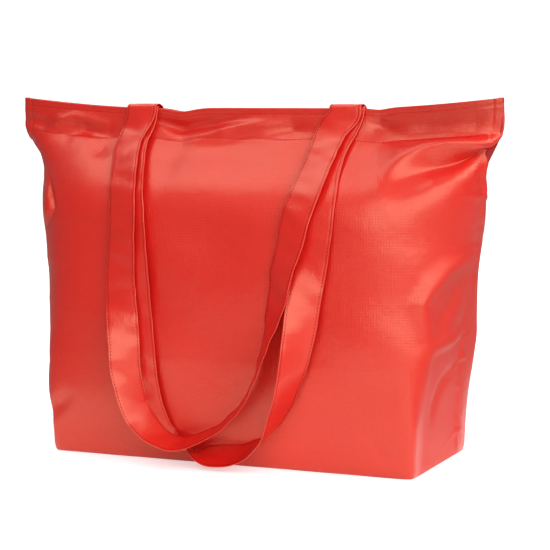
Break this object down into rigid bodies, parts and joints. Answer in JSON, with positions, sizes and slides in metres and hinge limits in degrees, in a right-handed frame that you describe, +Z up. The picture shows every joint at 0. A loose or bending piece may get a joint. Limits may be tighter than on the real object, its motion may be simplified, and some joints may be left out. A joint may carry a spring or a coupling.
{
  "type": "foldable tote bag",
  "caption": "Foldable zip-top shopper in thin red ripstop nylon, shown filled, with flat shoulder handles hanging down its front.",
  "frame": {"origin": "middle of the base panel's underside, on the floor", "axes": "+X along the bag's width to the viewer's right, -Y towards the viewer and the face the handles hang on, +Z up"},
  "size_m": [0.501, 0.2097, 0.348],
  "materials": {
    "nylon": "semi-gloss ripstop nylon",
    "nylon_strap": "folded self-fabric strap with edge stitching",
    "tape": "matte woven tape",
    "zip_coil": "nylon coil",
    "zip_metal": "enamel in the bag's colour"
  },
  "bodies": {
    "bag": {"front_panel": "nylon", "rear_panel": "nylon", "base_panel": "nylon", "front_hem_facing": "nylon", "rear_hem_facing": "nylon", "front_handle_left_end": "nylon_strap", "front_handle_right_end": "nylon_strap", "rear_handle_left_end": "nylon_strap", "rear_handle_right_end": "nylon_strap", "left_side_binding": "tape", "right_side_binding": "tape", "base_seam_binding": "tape", "stow_pocket": "nylon", "stow_pocket_binding": "tape", "front_zip_tape": "tape", "rear_zip_tape": "tape", "front_zip_coil": "zip_coil", "rear_zip_coil": "zip_coil", "left_zip_stop": "zip_metal", "right_zip_stop": "zip_metal"},
    "rear_handle_strap": {"rear_handle": "nylon_strap"},
    "front_handle_strap": {"front_handle": "nylon_strap"},
    "slider": {"zip_slider": "zip_metal"},
    "pull": {"zip_pull_tab": "zip_metal"}
  },
  "joints": [
    {"name": "rear_handle_lift", "type": "hinge", "parent": "bag", "child": "rear_handle_strap", "pos_m": [0, -0.0174, 0.3394], "axis": [-1, 0, 0], "range_deg": [0, 168]},
    {"name": "front_handle_lift", "type": "hinge", "parent": "bag", "child": "front_handle_strap", "pos_m": [0, -0.0286, 0.3394], "axis": [-1, 0, 0], "range_deg": [0, 168]},
    {"name": "zip_slide", "type": "slide", "parent": "bag", "child": "slider", "axis": [-1, 0, 0], "range_m": [0, 0.396]},
    {"name": "zip_pull_flip", "type": "hinge", "parent": "slider", "child": "pull", "pos_m": [0.198, -0.023, 0.33275], "axis": [0, 1, 0], "range_deg": [0, 175]}
  ],
  "couplings": [
    {"joint": "front_handle_lift", "follows": "rear_handle_lift", "ratio": 1}
  ]
}
